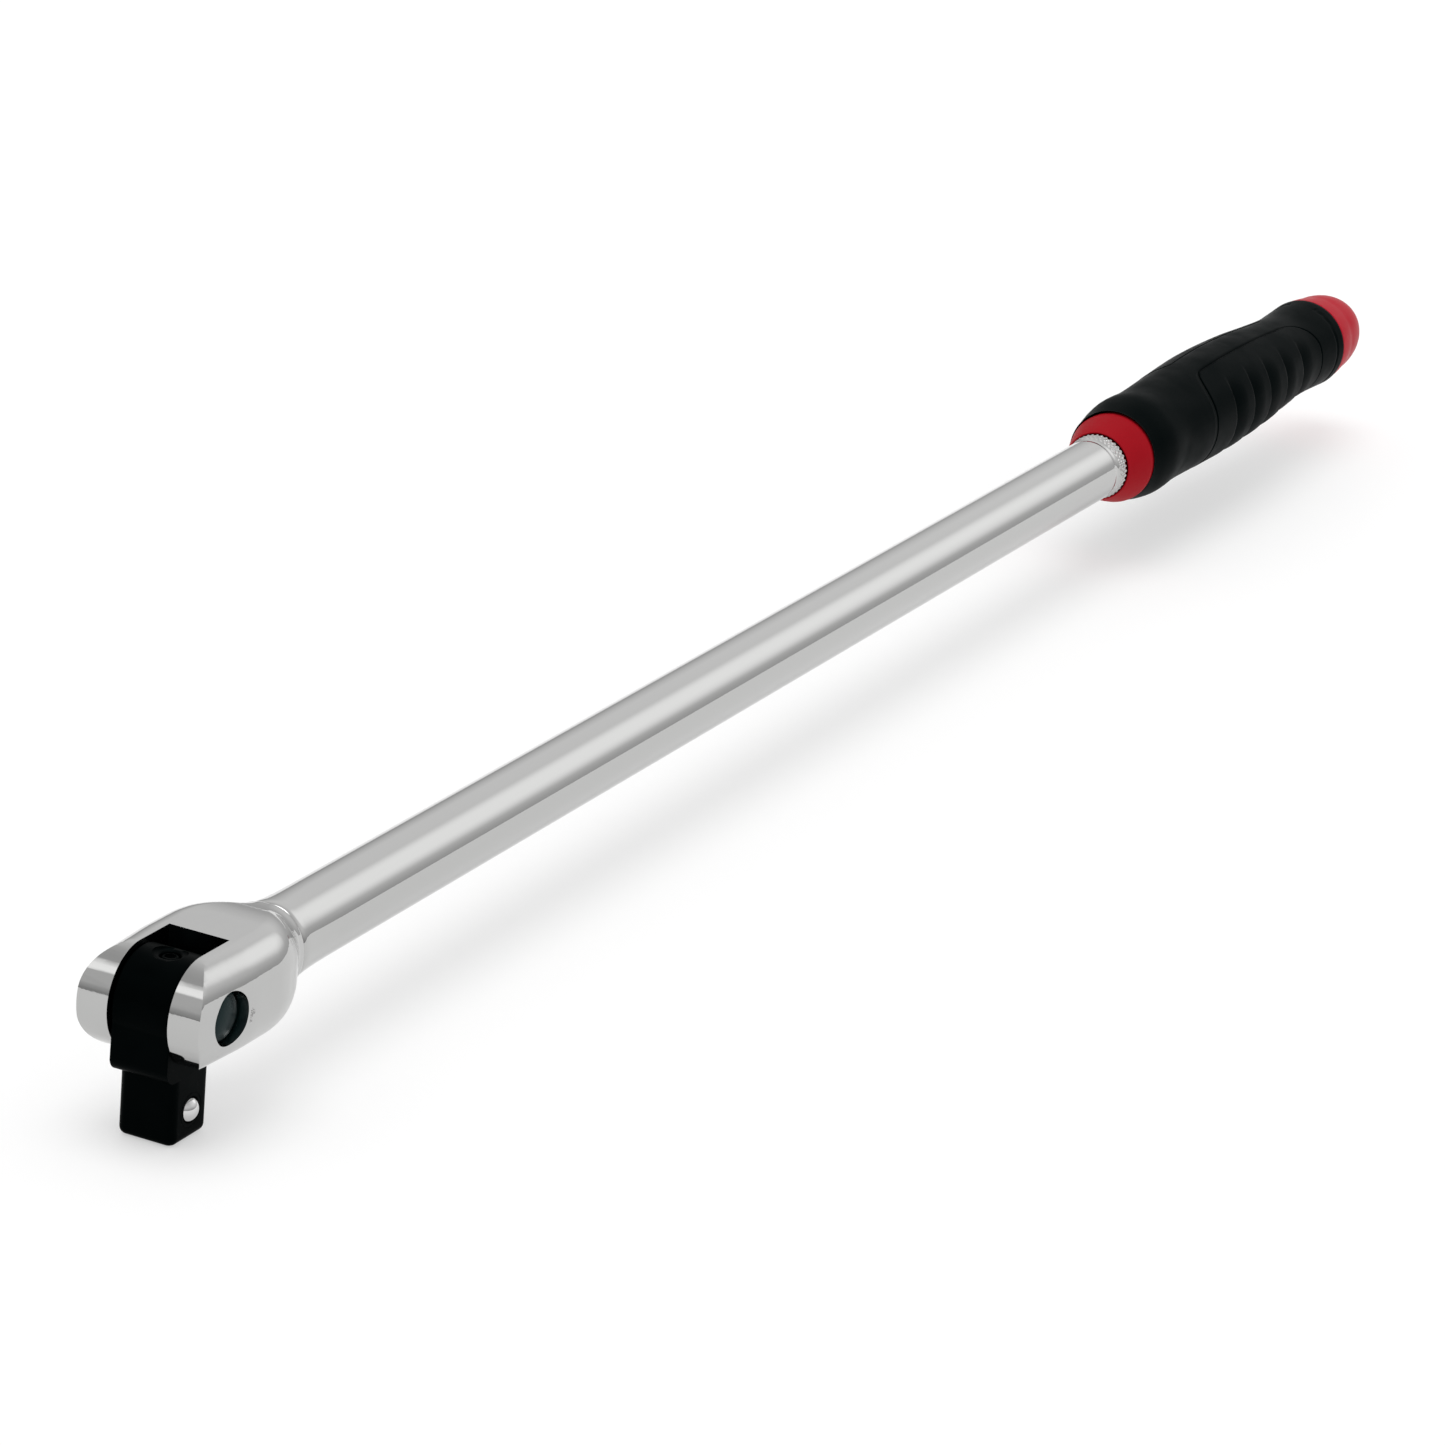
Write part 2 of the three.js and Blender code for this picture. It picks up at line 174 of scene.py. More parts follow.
surface, ends, results = node_group(
    "surface_grain",
    {"Scale": 2000.0, "Stretch": 1.0, "Smudge scale": 60.0, "Rough low": 0.2, "Rough high": 0.4},
    ["Height", "Roughness", "Smudge"],
)
fine = stretched_noise(surface, ends, "Scale", "Stretch", 3)
broad = stretched_noise(surface, ends, "Smudge scale", "Stretch", 4)
blend_tones = surface.nodes.new("ShaderNodeMapRange")
surface.links.new(broad.outputs["Fac"], blend_tones.inputs["Value"])
blend_tones.inputs["From Min"].default_value = 0.35
blend_tones.inputs["From Max"].default_value = 0.65
surface.links.new(ends.outputs["Rough low"], blend_tones.inputs["To Min"])
surface.links.new(ends.outputs["Rough high"], blend_tones.inputs["To Max"])
surface.links.new(fine.outputs["Fac"], results.inputs["Height"])
surface.links.new(blend_tones.outputs["Result"], results.inputs["Roughness"])
surface.links.new(broad.outputs["Fac"], results.inputs["Smudge"])


def add_grain(material, bump, tones=None, **values):
    """Puts the surface group into a material: bump in millimetres, tones as a dark and a light colour."""
    tree = material.node_tree
    shader = tree.nodes["Principled BSDF"]
    grain = tree.nodes.new("ShaderNodeGroup")
    grain.node_tree = surface
    for socket, value in values.items():
        grain.inputs[socket.replace("_", " ")].default_value = value
    relief = tree.nodes.new("ShaderNodeBump")
    relief.inputs["Distance"].default_value = bump * mm
    tree.links.new(grain.outputs["Height"], relief.inputs["Height"])
    tree.links.new(relief.outputs["Normal"], shader.inputs["Normal"])
    tree.links.new(grain.outputs["Roughness"], shader.inputs["Roughness"])
    if tones:
        colours = tree.nodes.new("ShaderNodeMix")
        colours.data_type = "RGBA"
        colours.inputs["A"].default_value = (*tones[0], 1)
        colours.inputs["B"].default_value = (*tones[1], 1)
        tree.links.new(grain.outputs["Smudge"], colours.inputs["Factor"])
        tree.links.new(colours.outputs["Result"], shader.inputs["Base Color"])
    return material


chrome = add_grain(
    new_material("bright_chrome", (0.475, 0.475, 0.47), 0.08, 1.0),
    bump=0.0015, tones=((0.45, 0.45, 0.445), (0.5, 0.5, 0.495)),
    Scale=900, Stretch=30, Smudge_scale=45, Rough_low=0.05, Rough_high=0.11,
)


# the forged fork keeps a faint orange peel under the plating, which grinding took off the shaft
forging = chrome.node_tree
place = forging.nodes.new("ShaderNodeTexCoord")
split = forging.nodes.new("ShaderNodeSeparateXYZ")
on_fork = forging.nodes.new("ShaderNodeMapRange")
on_fork.inputs["From Min"].default_value = 42 * mm
on_fork.inputs["From Max"].default_value = 34 * mm
peel = forging.nodes.new("ShaderNodeTexNoise")
peel.inputs["Scale"].default_value = 330
peel.inputs["Detail"].default_value = 2
masked = forging.nodes.new("ShaderNodeMath")
masked.operation = "MULTIPLY"
peel_relief = forging.nodes.new("ShaderNodeBump")
peel_relief.inputs["Distance"].default_value = 0.022 * mm
polished = forging.nodes["Principled BSDF"].inputs["Normal"].links[0].from_socket
forging.links.new(place.outputs["Object"], split.inputs["Vector"])
forging.links.new(place.outputs["Object"], peel.inputs["Vector"])
forging.links.new(split.outputs["X"], on_fork.inputs["Value"])
forging.links.new(on_fork.outputs["Result"], masked.inputs[0])
forging.links.new(peel.outputs["Fac"], masked.inputs[1])
forging.links.new(masked.outputs["Value"], peel_relief.inputs["Height"])
forging.links.new(polished, peel_relief.inputs["Normal"])
forging.links.new(peel_relief.outputs["Normal"], forging.nodes["Principled BSDF"].inputs["Normal"])


def skin(rows, columns, place, close_ends=True):
    """A sheet wrapped round on itself: place(row, column) puts each of its points."""
    bm = bmesh.new()
    bmesh.ops.create_grid(bm, x_segments=rows, y_segments=columns, size=1)
    for vert in bm.verts:
        row = round((vert.co.x + 1) / 2 * rows)
        column = round((vert.co.y + 1) / 2 * columns)
        vert.co = place(row, column)
    bmesh.ops.remove_doubles(bm, verts=bm.verts, dist=1e-7)
    if close_ends:
        rims = [edge for edge in bm.edges if edge.is_boundary]
        bmesh.ops.holes_fill(bm, edges=rims, sides=0)
    bmesh.ops.recalc_face_normals(bm, faces=bm.faces)
    return bm


def curve_between(start, control, end, steps):
    """Points on a quadratic curve, without its first one."""
    points = []
    for step in range(1, steps + 1):
        t = step / steps
        points.append(
            Vector(start) * (1 - t) ** 2 + Vector(control) * 2 * t * (1 - t) + Vector(end) * t ** 2
        )
    return points


pivot = Vector((0, 0, 27))
fork = {"half_height": 10.9, "side_corner": 7.0, "top_corner": 8.5}
half_widths = [Vector((-13, 13.4))]
half_widths += curve_between((-13, 13.4), (-2, 14.25), (8, 14.8), 10)
half_widths += curve_between((8, 14.8), (13, 14.8), (17, 14.75), 5)
half_widths += curve_between((17, 14.75), (24, 14.5), (30, 10.7), 12)
half_widths += curve_between((30, 10.7), (32, 9.1), (34.6, 8.9), 6)
half_widths += curve_between((34.6, 8.9), (35.9, 8.8), (36.2, 8.1), 7)
half_heights = [Vector((21, 10.9))]
half_heights += curve_between((21, 10.9), (25, 10.85), (29, 10.0), 10)
half_heights += curve_between((29, 10.0), (32, 9.3), (34.8, 8.95), 6)
half_heights += curve_between((34.8, 8.95), (35.9, 8.8), (36.2, 8.1), 7)
groove = {"at": 36.2, "radius": 8.1}
bar_sides = 192


def reach_at(curve, x):
    for near, far in zip(curve, curve[1:]):
        if x <= far.x:
            return near.y + (far.y - near.y) * max(0, x - near.x) / (far.x - near.x)
    return curve[-1].y


# each station: distance from the pivot, half width, half height, the corner's reach across and up,
# and the height of its beads
bar_stations = []
for x in sorted({round(point.x, 3) for point in half_widths + half_heights}):
    share = min(max((x - 18) / (groove["at"] - 18), 0), 1)
    wide, high = reach_at(half_widths, x), reach_at(half_heights, x)
    across = fork["side_corner"] + (groove["radius"] - fork["side_corner"]) * share
    up = fork["top_corner"] + (groove["radius"] - fork["top_corner"]) * share
    bar_stations.append((x, wide, high, min(wide, across), min(high, up), 0))

# past the groove the shaft is round: distance from the pivot, radius
shaft = [
    (36.4, 8.25), (36.8, 8.42), (37.6, 8.5), (39, 8.42), (41, 8.28), (44, 8.12), (48, 8.03), (52, 8),
    (438.6, 8), (439.4, 7.95), (440.2, 7.84), (440.9, 7.84), (441.5, 7.95),
]

# the knurl: rows of beads, flared out to a ragged edge in front of the collar, then plain to the tail
knurl = {"start": 441.8, "edge": 445.2, "step": 0.2, "bead": 0.17, "pitch": 1.0, "around": 40}
tail = [(445.35, 8.3), (445.45, 8.1), (466.5, 8.1), (466.6, 6.8), (591, 6.8), (592, 5.8)]
bar_stations += [(x, radius, radius, radius, radius, 0) for x, radius in shaft]
for step in range(round((knurl["edge"] - knurl["start"]) / knurl["step"]) + 1):
    share = step * knurl["step"] / (knurl["edge"] - knurl["start"])
    radius = 8.05 + 0.35 * share ** 2
    bar_stations.append((knurl["start"] + knurl["step"] * step, *[radius] * 4, knurl["bead"]))
bar_stations += [(x, radius, radius, radius, radius, 0) for x, radius in tail]


def bar_point(row, column):
    x, wide, high, side_corner, top_corner, bead = bar_stations[row]
    angle = 2 * math.pi * (column + 0.5) / bar_sides
    across, up = math.cos(angle), math.sin(angle)
    proud = 0
    if bead:
        along = (x - knurl["start"]) / knurl["pitch"]
        shift = math.pi * (int(along) % 2)
        bump = math.sin(math.pi * (along % 1)) * math.cos(knurl["around"] * angle + shift)
        ragged = 0.1 * math.sin(7 * angle + 3 * x) + 0.1 * math.sin(17 * angle)
        proud = bead * (bump + ragged * (along > 2))
    y = math.copysign(wide - side_corner, across) + (side_corner + proud) * across
    z = math.copysign(high - top_corner, up) + (top_corner + proud) * up
    return (pivot + Vector((x, y, z))) * mm


def turned(profile, axis="X", centre=pivot, steps=96):
    """A body turned about a line through centre, from (along, radius) points that start and end on it."""
    bm = bmesh.new()
    verts = [bm.verts.new((along, radius, 0)) for along, radius in profile]
    edges = [bm.edges.new(pair) for pair in zip(verts, verts[1:])]
    bmesh.ops.spin(
        bm, geom=verts + edges, axis=(1, 0, 0), cent=(0, 0, 0), steps=steps,
        angle=2 * math.pi, use_merge=True,
    )
    bmesh.ops.remove_doubles(bm, verts=bm.verts, dist=1e-5)
    bmesh.ops.recalc_face_normals(bm, faces=bm.faces)
    turn = {
        "X": Matrix(),
        "Y": Matrix.Rotation(math.pi / 2, 4, "Z"),
        "Z": Matrix.Rotation(-math.pi / 2, 4, "Y"),
    }
    place = Matrix.Scale(mm, 4) @ Matrix.Translation(centre) @ turn[axis]
    bmesh.ops.transform(bm, matrix=place, verts=bm.verts)
    return bm


def block(low, high):
    """A plain block between two corners, in millimetres."""
    low, high = Vector(low), Vector(high)
    bm = bmesh.new()
    bmesh.ops.create_cube(bm, size=1)
    bmesh.ops.scale(bm, vec=(high - low) * mm, verts=bm.verts)
    bmesh.ops.translate(bm, vec=(low + high) / 2 * mm, verts=bm.verts)
    return bm


def join(piece, bm, operation):
    """Cuts or adds a second shape, and leaves one mesh."""
    tool = new_piece("tool", bm)
    modifier = piece.modifiers.new("join", "BOOLEAN")
    modifier.object = tool
    modifier.operation = operation
    modifier.solver = "EXACT"
    depsgraph = bpy.context.evaluated_depsgraph_get()
    old = piece.data
    materials = list(old.materials)
    name = old.name
    piece.data = bpy.data.meshes.new_from_object(piece.evaluated_get(depsgraph))
    piece.modifiers.clear()
    bpy.data.objects.remove(tool)
    bpy.data.meshes.remove(old)
    piece.data.name = name
    piece.data.materials.clear()
    for material in materials:
        piece.data.materials.append(material)


def soften(piece, width, within, sharpest=35, segments=3):
    """Rounds the sharp outer edges whose points all pass a test."""
    bm = bmesh.new()
    bm.from_mesh(piece.data)
    bmesh.ops.remove_doubles(bm, verts=bm.verts, dist=2e-6)
    bmesh.ops.dissolve_degenerate(bm, edges=bm.edges, dist=1e-6)
    edges = [
        edge for edge in bm.edges
        if len(edge.link_faces) == 2 and edge.calc_face_angle_signed(0) > math.radians(sharpest)
        and all(within(vert.co / mm) for vert in edge.verts)
    ]
    bmesh.ops.bevel(
        bm, geom=edges, offset=width * mm, offset_type="OFFSET", affect="EDGES",
        segments=segments, profile=0.5, material=-1, clamp_overlap=True,
    )
    for face in bm.faces:
        face.smooth = True
    bm.to_mesh(piece.data)
    bm.free()


def even_shading(piece):
    modifier = piece.modifiers.new("even_shading", "WEIGHTED_NORMAL")
    modifier.keep_sharp = True
    modifier.weight = 60


bar = new_piece("chrome_bar", skin(len(bar_stations) - 1, bar_sides, bar_point), chrome)

# the ears' noses are round about the pin; the slot, the mouths and the pin's hole are milled, and
# a punch stakes the ear beside each end of the pin
slot_half, slot_wall = 6.75, 10.2
pin_hole = [(-20, 0), (-20, 5.15), (20, 5.15), (20, 0)]
nose_radius = fork["half_height"] + 0.01
nose = bmesh.new()
for side in (-20, 20):
    ring = Matrix.Translation((pivot + Vector((0, side, 0))) * mm) @ Matrix.Rotation(math.pi / 2, 4, "X")
    bmesh.ops.create_circle(nose, segments=160, radius=nose_radius * mm, matrix=ring)
    for up in (-nose_radius, nose_radius):
        nose.verts.new((pivot + Vector((700, side, up))) * mm)
bmesh.ops.convex_hull(nose, input=nose.verts)
bmesh.ops.dissolve_limit(nose, angle_limit=math.radians(0.5), verts=nose.verts, edges=nose.edges)
join(bar, nose, "INTERSECT")
join(bar, block((-20, -slot_half, 0), (slot_wall, slot_half, 60)), "DIFFERENCE")

mouth = {"floor": 10.6, "radius": 5.5}
for side in (-1, 1):
    recess = [(mouth["floor"], 0), (mouth["floor"], mouth["radius"]), (20, mouth["radius"]), (20, 0)]
    join(bar, turned([(side * along, radius) for along, radius in recess], "Y"), "DIFFERENCE")
join(bar, turned(pin_hole, "Y"), "DIFFERENCE")
punch = [(-0.7, 0), (-0.4, 0.42), (0, 0.6), (0.4, 0.42), (0.7, 0)]
for side in (-1, 1):
    for x, z in ((6.7, -0.3), (6.55, -1.2), (7.2, -0.8), (6.35, -2.2)):
        join(bar, turned(punch, "Y", pivot + Vector((x, side * 14.85, z)), 8), "DIFFERENCE")
soften(bar, 0.45, lambda place: place.x < 35, sharpest=30)
even_shading(bar)
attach(bar, "handle")
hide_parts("bar")


# ---- drive head ----
# A forged steel knuckle with the half-inch square on its end, finished in black oxide and oil.
black_steel = add_grain(
    new_material("black_oxide", (0.0006, 0.001, 0.001), 0.35, 0.0, IOR=1.12, Specular_IOR_Level=0.1,
                 Specular_Tint=(0.5, 1, 1, 1)),
    bump=0.006, tones=((0.0004, 0.0007, 0.0007), (0.001, 0.0016, 0.0017)),
    Scale=2600, Smudge_scale=160, Rough_low=0.26, Rough_high=0.4,
)

eye = {"radius": 10.1, "half": 6.45, "edge": 0.5}
shoulder_height = 13.8
square = {"half": 6.35, "corner": 1.9, "chamfer": 1.5}


def rounded(bm, width, chosen, segments):
    edges = [edge for edge in bm.edges if chosen(edge)]
    bmesh.ops.bevel(
        bm, geom=edges, offset=width * mm, offset_type="OFFSET", affect="EDGES",
        segments=segments, profile=0.5, material=-1,
    )
    return bm


def runs_along(edge, axis):
    return abs((edge.verts[0].co - edge.verts[1].co).normalized()[axis]) > 0.999


def lies_below(edge, height):
    return all(vert.co.z < height * mm for vert in edge.verts)


eye_half = [
    (eye["half"] - eye["edge"], eye["radius"]),
    (eye["half"], eye["radius"] - eye["edge"]),
    (eye["half"], 0),
]
eye_profile = [(-along, radius) for along, radius in reversed(eye_half)] + eye_half
head = new_piece("drive_knuckle", turned(eye_profile, "Y"), black_steel)
knuckle_block = block((-9.6, -eye["half"] + 0.02, shoulder_height), (9.6, eye["half"] - 0.02, pivot.z))
rounded(knuckle_block, 3.2, lambda edge: runs_along(edge, 1) and lies_below(edge, 14), 8)
rounded(knuckle_block, 0.5, lambda edge: runs_along(edge, 2), 3)
join(head, knuckle_block, "UNION")
tang = block((-square["half"], -square["half"], 0), (square["half"], square["half"], 17))
rounded(tang, square["corner"], lambda edge: runs_along(edge, 2), 6)
rounded(tang, square["chamfer"], lambda edge: lies_below(edge, 0.01), 5)
join(head, tang, "UNION")
join(head, turned(pin_hole, "Y"), "DIFFERENCE")
ball_height = 6.1
seat = Vector((0, 0, ball_height))
ball_bore = [(-9, 0), (-9, 2.72), (-6.1, 2.72), (-6.0, 3.05), (4.4, 3.05), (4.4, 0)]
join(head, turned(ball_bore, "Y", seat, 48), "DIFFERENCE")
swage = turned([(-6.6, 3.3), (-6.6, 3.75), (-6.2, 3.5), (-6.6, 3.3)], "Y", seat, 48)
join(head, swage, "DIFFERENCE")
crown = [(0, 0), (0, 2.15), (9.2, 2.15), (9.5, 2.5), (9.52, 3.5), (12, 3.5), (12, 0)]
join(head, turned(crown, "Z", pivot, 48), "DIFFERENCE")
soften(head, 0.25, lambda place: place.z > 3, sharpest=40, segments=2)
even_shading(head)
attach(head, "head")
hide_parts("drive_head")


# ---- pivot pin ----
# A turned steel pin, blacked, with domed heads swaged into the mouths of both ears and staked there.
pin_end = [
    (10.9, 5.0), (10.9, 5.3), (11.5, 5.35), (12.1, 5.1), (12.6, 4.4), (12.9, 3.1), (13.1, 1.5),
    (13.15, 0),
]
pin_profile = [(-along, radius) for along, radius in reversed(pin_end)] + pin_end
# the pin's dark steel gets a teal base colour and lighter teal tones: a painted teal highlight standing
# in for the glint on its domed ends, since the shader's own highlight stays neutral
pin_steel_painted_highlight = add_grain(
    new_material("pin_painted_teal_highlight", (0.003, 0.009, 0.01), 0.3, 0.0, IOR=1.25, Specular_IOR_Level=0.3,
                 Specular_Tint=(0.35, 1, 1, 1)),
    bump=0.006, tones=((0.002, 0.007, 0.008), (0.004, 0.011, 0.012)),
    Scale=2600, Smudge_scale=160, Rough_low=0.24, Rough_high=0.36,
)
pin = new_piece("cross_pin", turned(pin_profile, "Y"), pin_steel_painted_highlight)
even_shading(pin)
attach(pin, "handle")
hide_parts("pivot_pin")


# ---- tension screw ----
# A short socket set screw that presses the nylon pad on to the pin.
screw = new_piece("set_screw", turned([
    (6.8, 0), (6.8, 1.6), (7.0, 1.85), (8.7, 1.85), (9.2, 1.5), (9.25, 0),
], "Z", pivot, 48), black_steel)
socket = bmesh.new()
bmesh.ops.create_cone(
    socket, cap_ends=True, segments=6, radius1=1.15 * mm, radius2=1.15 * mm, depth=3 * mm,
    matrix=Matrix.Translation((pivot + Vector((0, 0, 9.3))) * mm),
)
join(screw, socket, "DIFFERENCE")
even_shading(screw)
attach(screw, "head")
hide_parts("tension_screw")


# ---- friction pad and retaining spring ----
# Both stay out of sight inside the head: a turned nylon plug, and a coil of drawn spring wire.
def refinish(node, material):
    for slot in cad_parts[node].material_slots:
        slot.material = material


refinish("friction_pad", add_grain(
    new_material("natural_nylon", (0.75, 0.73, 0.64), 0.5), bump=0.01,
    tones=((0.72, 0.7, 0.6), (0.8, 0.78, 0.7)), Scale=1500, Rough_low=0.4, Rough_high=0.6,
))
refinish("retaining_spring", add_grain(
    new_material("spring_wire", (0.4, 0.4, 0.4), 0.3, 1.0), bump=0.004,
    tones=((0.34, 0.34, 0.34), (0.46, 0.46, 0.46)), Scale=3000, Rough_low=0.25, Rough_high=0.4,
))


# ---- retaining ball ----
# A hardened bearing ball, ground and polished, held in its bore by the swaged lip.
ball_radius = 2.75
ball_proud = 1.35
ball_centre = Vector((0, ball_radius - square["half"] - ball_proud, ball_height))
sphere = bmesh.new()
bmesh.ops.create_icosphere(
    sphere, subdivisions=5, radius=ball_radius * mm, matrix=Matrix.Translation(ball_centre * mm),
)
ball = new_piece("bearing_ball", sphere, add_grain(
    new_material("polished_ball_steel", (0.62, 0.62, 0.62), 0.08, 1.0),
    bump=0.001, tones=((0.58, 0.58, 0.58), (0.66, 0.66, 0.66)),
    Scale=2500, Smudge_scale=300, Rough_low=0.06, Rough_high=0.14,
))
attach(ball, "ball")
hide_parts("retaining_ball")


# ---- grip core ----
# A hard red polypropylene tube moulded over the knurl. Its front end shows as a conical collar.
red_plastic = add_grain(
    new_material("red_polypropylene", (0.34, 0.006, 0.012), 0.4, 0.0, IOR=1.3, Specular_IOR_Level=0.06),
    bump=0.006, tones=((0.32, 0.005, 0.011), (0.36, 0.007, 0.014)),
    Scale=2200, Smudge_scale=90, Rough_low=0.36, Rough_high=0.46,
)
collar_profile = [
    (446.0, 8.5), (445.7, 8.55), (445.6, 8.75), (445.75, 8.95), (448.5, 9.85), (451.5, 10.85),
    (453.9, 11.55), (454.5, 11.68), (460, 11.68),
]
tube_profile = [
    (460, 10.5), (470, 10.5), (470, 8.4), (604, 8.4), (604, 7.1), (466.9, 7.1), (466.9, 8.5),
    (446.0, 8.5),
]
core = new_piece("red_core", turned(collar_profile + tube_profile, "X"), red_plastic)
even_shading(core)
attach(core, "handle")
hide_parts("grip_core")


# ---- grip sleeve ----
# Black thermoplastic rubber moulded over the core, with a shallow pocket for the finger panel and a
# fine ring near its back end. It swells at both ends and in the palm, and rises towards the back.
black_rubber = add_grain(
    new_material("black_rubber", (0.001, 0.0024, 0.0025), 0.4, 0.0, IOR=1.12, Specular_IOR_Level=0.1,
                 Specular_Tint=(0.7, 1, 1, 1)),
    bump=0.015, tones=((0.0007, 0.0019, 0.002), (0.0013, 0.0029, 0.003)),
    Scale=3500, Smudge_scale=120, Rough_low=0.34, Rough_high=0.46,
)

sleeve_stations = [
    (455.2, 11.95), (458, 12.45), (462, 13.15), (467, 13.6), (477, 13.2), (496, 13.7), (516, 14.15),
    (540, 13.5), (558, 12.3), (571, 11.6), (580, 11.85), (590.2, 12.3),
]
sleeve = {"start": 455.2, "end": 590.2, "bore": 8.7, "hub_bore": 10.8, "mouth": 11.9, "ring": 586.0}
panel = {
    "start": 494.5, "end": 575, "edge_angle": 16.5, "front_corner": (7.5, 9), "back_corner": (15, 13),
    "pocket_gap": 0.42, "pocket_depth": 1.2, "inset": 0.12, "proud": 0.08, "thickness": 1.0,
}


def sleeve_radius(x):
    """A smooth curve through the stations."""
    points = sleeve_stations
    x = min(max(x, points[0][0]), points[-1][0])
    spot = next(i for i in range(len(points) - 1) if x <= points[i + 1][0])
    (x0, r0), (x1, r1) = points[spot], points[spot + 1]

    def slope(i):
        i0, i1 = max(i - 1, 0), min(i + 1, len(points) - 1)
        return (points[i1][1] - points[i0][1]) / (points[i1][0] - points[i0][0])

    span = x1 - x0
    t = (x - x0) / span
    return (
        r0 * (2 * t ** 3 - 3 * t ** 2 + 1) + slope(spot) * span * (t ** 3 - 2 * t ** 2 + t)
        + r1 * (3 * t ** 2 - 2 * t ** 3) + slope(spot + 1) * span * (t ** 3 - t ** 2)
    )


def lift(x):
    t = min(max((x - 456) / 75, 0), 1)
    return 0.4 + 0.9 * t * t * (3 - 2 * t)


def grip_point(x, angle, radius):
    """angle runs from the top of the grip, over the ball's side."""
    turn = math.radians(angle)
    return (pivot + Vector((x, -radius * math.sin(turn), lift(x) + radius * math.cos(turn)))) * mm


def corner_run(angle, corner):
    """How far the panel's edge is drawn in at an angle, on a quarter ellipse (length, width)."""
    length, width = corner
    from_edge = (min(angle, 360 - angle) - panel["edge_angle"]) * math.pi / 180 * 13
    share = min(max(1 - from_edge / width, 0), 1)
    return length * (1 - math.sqrt(1 - share * share))


def window_angles(count, gap=0):
    """Angles across the panel, close together where its corners turn."""
    first = panel["edge_angle"] + gap
    near = [first + math.degrees(1 - math.cos(math.pi / 2 * step / 14)) for step in range(15)]
    middle = [near[-1] + (360 - 2 * near[-1]) * step / count for step in range(1, count)]
    return near + middle + [360 - angle for angle in reversed(near)]


strip_angles = [-panel["edge_angle"] + 2 * panel["edge_angle"] * step / 12 for step in range(1, 12)]
sleeve_angles = window_angles(110) + [360 + angle for angle in strip_angles]


def window_rows(angle, gap):
    inside = panel["edge_angle"] <= angle % 360 <= 360 - panel["edge_angle"]
    bearing = angle % 360 if inside else panel["edge_angle"]
    return (
        panel["start"] - gap + corner_run(bearing, panel["front_corner"]),
        panel["end"] + gap - corner_run(bearing, panel["back_corner"]),
    )


front_lip = [(455.6, sleeve["mouth"]), (455.25, 11.93), (455.15, 12.0)]
front_rows, window_count, back_rows = 30, 64, 26
back_lip = [(590.25, 12.15), (590.2, 11.9), (590.2, sleeve["bore"])]
bore_rows = [
    (470.4, sleeve["bore"]), (470.4, sleeve["hub_bore"]), (460.4, sleeve["hub_bore"]),
    (460.4, sleeve["mouth"]), (455.6, sleeve["mouth"]),
]
row_count = len(front_lip) + front_rows + window_count + back_rows + len(back_lip) + len(bore_rows)


def sleeve_point(row, column):
    angle = sleeve_angles[column % len(sleeve_angles)]
    front, back = window_rows(angle, panel["pocket_gap"])
    if row < len(front_lip):
        return grip_point(front_lip[row][0], angle, front_lip[row][1])
    row -= len(front_lip)
    if row < front_rows:
        x = sleeve["start"] + (front - sleeve["start"]) * (row / front_rows) ** 1.3
        return grip_point(x, angle, sleeve_radius(x))
    row -= front_rows
    if row < window_count:
        x = front + (back - front) * row / window_count
        return grip_point(x, angle, sleeve_radius(x))
    row -= window_count
    if row < back_rows:
        x = back + (sleeve["end"] - back) * row / (back_rows - 1)
        ring_depth = 0.3 * math.exp(-((x - sleeve["ring"]) / 0.28) ** 2)
        return grip_point(x, angle, sleeve_radius(x) - ring_depth)
    row -= back_rows
    inner = back_lip + bore_rows
    x, radius = inner[min(row, len(inner) - 1)]
    if radius in (sleeve["bore"], sleeve["hub_bore"]):
        turn = math.radians(angle)
        return (pivot + Vector((x, -radius * math.sin(turn), radius * math.cos(turn)))) * mm
    return grip_point(x, angle, radius)


sleeve_bm = skin(row_count - 1, len(sleeve_angles), sleeve_point, close_ends=False)


def in_window(face):
    middle = face.calc_center_median() / mm - pivot
    if not panel["start"] - panel["pocket_gap"] < middle.x < panel["end"] + panel["pocket_gap"]:
        return False
    up = middle.z - lift(middle.x)
    if math.hypot(middle.y, up) < 10.9:
        return False
    angle = math.degrees(math.atan2(-middle.y, up)) % 360
    front, back = window_rows(angle, panel["pocket_gap"])
    return panel["edge_angle"] < angle < 360 - panel["edge_angle"] and front < middle.x < back


pocket = [face for face in sleeve_bm.faces if in_window(face)]
bmesh.ops.inset_region(
    sleeve_bm, faces=pocket, thickness=0.05 * mm, depth=-panel["pocket_depth"] * mm, use_even_offset=True,
)
grip_sleeve = new_piece("rubber_sleeve", sleeve_bm, black_rubber)
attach(grip_sleeve, "handle")
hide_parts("grip_sleeve")


# ---- finger panel ----
# A saddle of softer rubber let into the sleeve, moulded with five finger grooves that run round the
# belly of the grip. Each groove has a crisp front lip and a gentle back slope.
finger_grooves = [506.5, 519, 531.5, 545, 559.5]
groove_depth = 1.2
panel_rows = 170
panel_angles = window_angles(150, 1.7)


def finger_relief(x, angle):
    down = min(angle, 360 - angle)
    fade = min(max((down - 38) / 30, 0), 1)
    fade = fade * fade * (3 - 2 * fade)
    bow = 2.6 * (1 - math.cos(math.radians(down - 60))) + 0.4
    depth = 0
    for start in finger_grooves:
        along = x - start - bow
        if -0.5 < along < 9:
            lip = min(max((along + 0.5) / 1.3, 0), 1)
            slope = max(0, 1 - max(along - 0.8, 0) / 7) ** 1.7
            depth = max(depth, lip * lip * (3 - 2 * lip) * slope)
    return groove_depth * depth * fade


